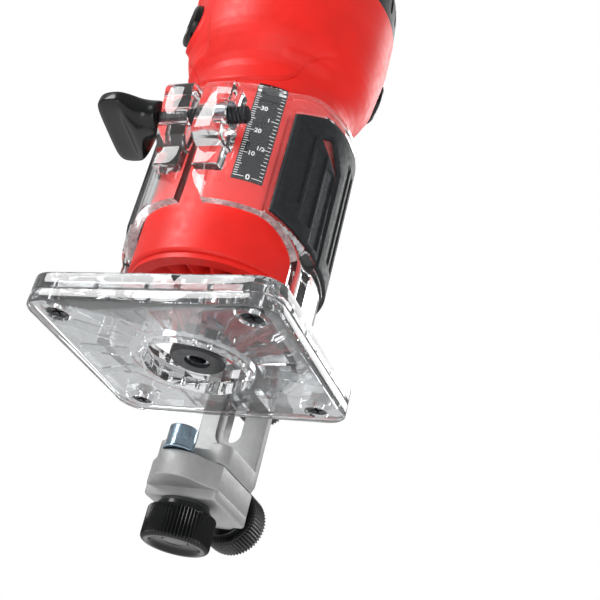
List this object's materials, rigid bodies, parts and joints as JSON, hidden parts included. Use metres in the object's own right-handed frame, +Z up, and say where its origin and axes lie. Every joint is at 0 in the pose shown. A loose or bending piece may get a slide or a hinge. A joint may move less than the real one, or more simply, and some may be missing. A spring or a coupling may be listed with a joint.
{
  "type": "trim router",
  "caption": "Corded trim router: red motor unit in a clear clamped base, knurled trimmer guide with a roller below.",
  "frame": {"origin": "on the spindle axis, in the plane of the sole that rides on the work", "axes": "+X right, +Y back, +Z up along the spindle; the clamp and the arch face -Y, the trimmer guide hangs at +Y"},
  "size_m": [0.092, 0.1181, 0.2555],
  "materials": {
    "clear_base": "clear polished polycarbonate",
    "grip_rubber": "matt ribbed rubber",
    "black_plastic": "semi-gloss moulded",
    "matt_black_plastic": "fine moulded texture",
    "red_shell": "satin moulded",
    "scale_print": "printed plate",
    "cast_metal": "die-cast, fine blasted",
    "zinc_steel": "bright zinc",
    "blue_zinc": "blue zinc plated",
    "black_steel": "black oxide",
    "lamination": "stacked sheet",
    "copper": "enamelled wire",
    "brass": "turned",
    "carbon": "pressed carbon",
    "film_yellow": "dipped"
  },
  "bodies": {
    "base": {"base_housing": "clear_base", "sub_base": "clear_base", "sub_base_screws": "black_steel", "left_grip": "grip_rubber", "right_grip": "grip_rubber", "clamp_nut": "zinc_steel", "guide_mount_nut": "zinc_steel"},
    "clamp": {"clamp_bolt": "black_steel", "clamp_wing": "black_plastic"},
    "guide_lock": {"guide_lock_screw": "zinc_steel", "guide_lock_washer": "zinc_steel", "guide_lock_knob": "black_plastic"},
    "motor": {"motor_housing": "red_shell", "vent_ring": "red_shell", "nose_cap": "red_shell", "depth_scale": "scale_print", "stator_core": "lamination", "field_coils": "copper", "brush_holders": "brass", "carbon_brushes": "carbon", "brush_springs": "zinc_steel", "brush_caps": "matt_black_plastic", "rear_bracket": "matt_black_plastic", "front_bearing": "zinc_steel", "rear_bearing": "zinc_steel", "top_cover": "matt_black_plastic", "cover_screws": "zinc_steel", "cord_gland": "grip_rubber", "capacitor": "film_yellow", "switch_body": "matt_black_plastic", "switch_bezel": "matt_black_plastic"},
    "rocker": {"switch_rocker": "black_plastic"},
    "spindle": {"armature_shaft": "zinc_steel", "armature_core": "lamination", "armature_windings": "copper", "commutator": "copper", "cooling_fan": "matt_black_plastic", "collet_cone": "zinc_steel", "collet_nut": "black_steel"},
    "guide_holder": {"guide_holder": "cast_metal"},
    "adjuster": {"adjust_screw": "zinc_steel", "adjust_knob": "black_plastic"},
    "guide_arm": {"guide_arm": "cast_metal", "roller_pin": "zinc_steel"},
    "roller": {"guide_roller": "blue_zinc"},
    "arm_lock": {"arm_lock_screw": "zinc_steel", "arm_lock_washer": "matt_black_plastic", "arm_lock_knob": "black_plastic"}
  },
  "joints": [
    {"name": "motor_slide", "type": "slide", "parent": "base", "child": "motor", "axis": [0, 0, 1], "range_m": [0, 0.04]},
    {"name": "spindle_spin", "type": "hinge", "parent": "motor", "child": "spindle", "pos_m": [0, 0, 0.1], "axis": [0, 0, 1], "continuous": true},
    {"name": "switch_rock", "type": "hinge", "parent": "motor", "child": "rocker", "pos_m": [0, -0.0345, 0.1725], "axis": [1, 0, 0], "range_deg": [-12, 0]},
    {"name": "clamp_turn", "type": "hinge", "parent": "base", "child": "clamp", "pos_m": [-0.03, -0.041, 0.078], "axis": [1, 0, 0], "range_deg": [0, 360]},
    {"name": "guide_height", "type": "slide", "parent": "base", "child": "guide_holder", "axis": [0, 0, 1], "range_m": [-0.02, 0.018]},
    {"name": "guide_lock_turn", "type": "hinge", "parent": "base", "child": "guide_lock", "pos_m": [0, 0.05, 0.0177], "axis": [0, 1, 0], "range_deg": [0, 720]},
    {"name": "adjust_turn", "type": "hinge", "parent": "guide_holder", "child": "adjuster", "pos_m": [0, 0.05, -0.0333], "axis": [0, 1, 0], "range_deg": [0, 4140]},
    {"name": "arm_slide", "type": "slide", "parent": "guide_holder", "child": "guide_arm", "axis": [0, -1, 0], "range_m": [0, 0.0115]},
    {"name": "arm_lock_turn", "type": "hinge", "parent": "guide_holder", "child": "arm_lock", "pos_m": [0, 0.0196, -0.05], "axis": [0, 0, 1], "range_deg": [0, 720]},
    {"name": "roller_spin", "type": "hinge", "parent": "guide_arm", "child": "roller", "pos_m": [0, 0.005, -0.024], "axis": [0, 0, 1], "continuous": true}
  ],
  "couplings": [
    {"joint": "adjust_turn", "follows": "arm_slide", "rad_per_m": 6283.2}
  ]
}
